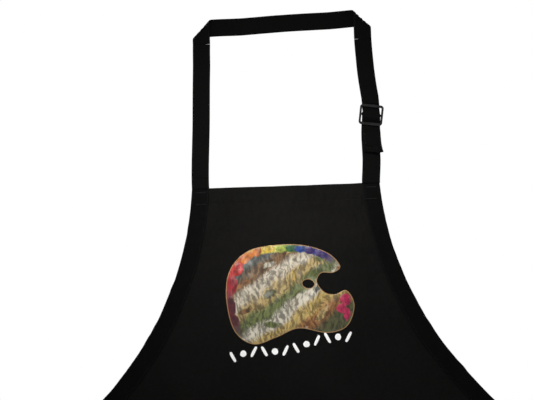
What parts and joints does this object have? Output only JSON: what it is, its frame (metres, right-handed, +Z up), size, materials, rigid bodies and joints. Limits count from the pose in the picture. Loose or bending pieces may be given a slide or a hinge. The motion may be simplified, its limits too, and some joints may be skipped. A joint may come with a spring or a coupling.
{
  "type": "bib apron",
  "caption": "Bib apron for an artist: shaped cloth body with taped armholes, adjustable neck loop with a slider, front pocket and waist ties.",
  "frame": {"origin": "middle of the lower edge of the neck tape, where the loop rests on a hook, a hanger or a neck", "axes": "+X to the viewer's right along the width, +Y from the printed front to the back, +Z up along the hanging length"},
  "size_m": [0.649, 0.0781, 1.2872],
  "materials": {
    "twill_cloth": "black cotton-polyester twill",
    "hem_cloth": "the same twill turned under and pressed",
    "pocket_cloth": "black cotton-polyester twill",
    "tape_cloth": "black twill tape, slightly tighter weave",
    "thread": "black polyester thread",
    "buckle_plastic": "black moulded plastic, soft gloss",
    "print_board": "printed ink film, painted wood tone",
    "print_white": "printed white ink film",
    "print_maroon": "printed ink film",
    "print_crimson": "printed ink film",
    "print_red": "printed ink film",
    "print_orange": "printed ink film",
    "print_yellow": "printed ink film",
    "print_lime": "printed ink film",
    "print_green": "printed ink film",
    "print_blue": "printed ink film",
    "print_indigo": "printed ink film",
    "print_magenta": "printed ink film"
  },
  "bodies": {
    "neck_loop": {"neck_tape_top": "tape_cloth", "neck_tape_fold_left": "tape_cloth", "neck_tape_fold_right": "tape_cloth"},
    "neck_sides": {"neck_tape_left": "tape_cloth", "neck_tape_right": "tape_cloth", "buckle_strap": "tape_cloth", "buckle_strap_stitches": "thread"},
    "slider": {"slider_frame": "buckle_plastic", "neck_tape_in_slider": "tape_cloth"},
    "tail_root": {"tail_exit": "tape_cloth"},
    "tail": {"tape_tail": "tape_cloth", "tail_end_fold": "tape_cloth"},
    "tie_left": {"waist_tie_left": "tape_cloth", "tie_end_hem_left": "tape_cloth"},
    "tie_right": {"waist_tie_right": "tape_cloth", "tie_end_hem_right": "tape_cloth"},
    "apron_body": {"body_panel": "twill_cloth", "bib_top_hem": "hem_cloth", "bottom_hem": "hem_cloth", "side_hem_left": "hem_cloth", "side_hem_right": "hem_cloth", "armhole_tape_left": "tape_cloth", "armhole_tape_right": "tape_cloth", "armhole_stitches_left": "thread", "armhole_stitches_right": "thread", "side_hem_stitches_left": "thread", "side_hem_stitches_right": "thread", "top_hem_stitches": "thread", "bottom_hem_stitches": "thread", "corner_tack_left": "thread", "corner_tack_right": "thread", "pocket_panel": "pocket_cloth", "pocket_band": "pocket_cloth", "pocket_stitches": "thread", "pocket_tacks": "thread", "tie_tab_left": "tape_cloth", "tie_tab_right": "tape_cloth", "tie_tack_left": "thread", "tie_tack_right": "thread", "print_palette": "print_board", "print_marks": "print_white", "print_paint_maroon": "print_maroon", "print_paint_crimson": "print_crimson", "print_paint_red": "print_red", "print_paint_orange": "print_orange", "print_paint_yellow": "print_yellow", "print_paint_lime": "print_lime", "print_paint_green": "print_green", "print_paint_blue": "print_blue", "print_paint_indigo": "print_indigo", "print_paint_magenta": "print_magenta"}
  },
  "joints": [
    {"name": "neck_loop_adjust", "type": "slide", "parent": "neck_loop", "child": "neck_sides", "axis": [0, 0, 1], "range_m": [0, 0.045]},
    {"name": "slider_tilt", "type": "hinge", "parent": "neck_sides", "child": "slider", "pos_m": [0.111, -0.00805, -0.105], "axis": [-0.9903, 0, 0.1392], "range_deg": [0, 25]},
    {"name": "tail_flap", "type": "hinge", "parent": "neck_sides", "child": "tail_root", "pos_m": [0.111, -0.0059, -0.121], "axis": [-0.9903, 0, 0.1392], "range_deg": [0, 80]},
    {"name": "tail_feed", "type": "slide", "parent": "tail_root", "child": "tail", "axis": [0, 0, -1], "range_m": [0, 0.09]},
    {"name": "bib_fold", "type": "hinge", "parent": "neck_sides", "child": "apron_body", "pos_m": [0, -0.0049, -0.19], "axis": [1, 0, 0], "range_deg": [0, 90]},
    {"name": "tie_left_swing", "type": "hinge", "parent": "apron_body", "child": "tie_left", "pos_m": [-0.312, 0.03375, -0.526], "axis": [0, 1, 0], "range_deg": [-20, 100]},
    {"name": "tie_right_swing", "type": "hinge", "parent": "apron_body", "child": "tie_right", "pos_m": [0.312, 0.03375, -0.526], "axis": [0, -1, 0], "range_deg": [-20, 100]}
  ],
  "couplings": [
    {"joint": "tail_feed", "follows": "neck_loop_adjust", "ratio": 2}
  ]
}
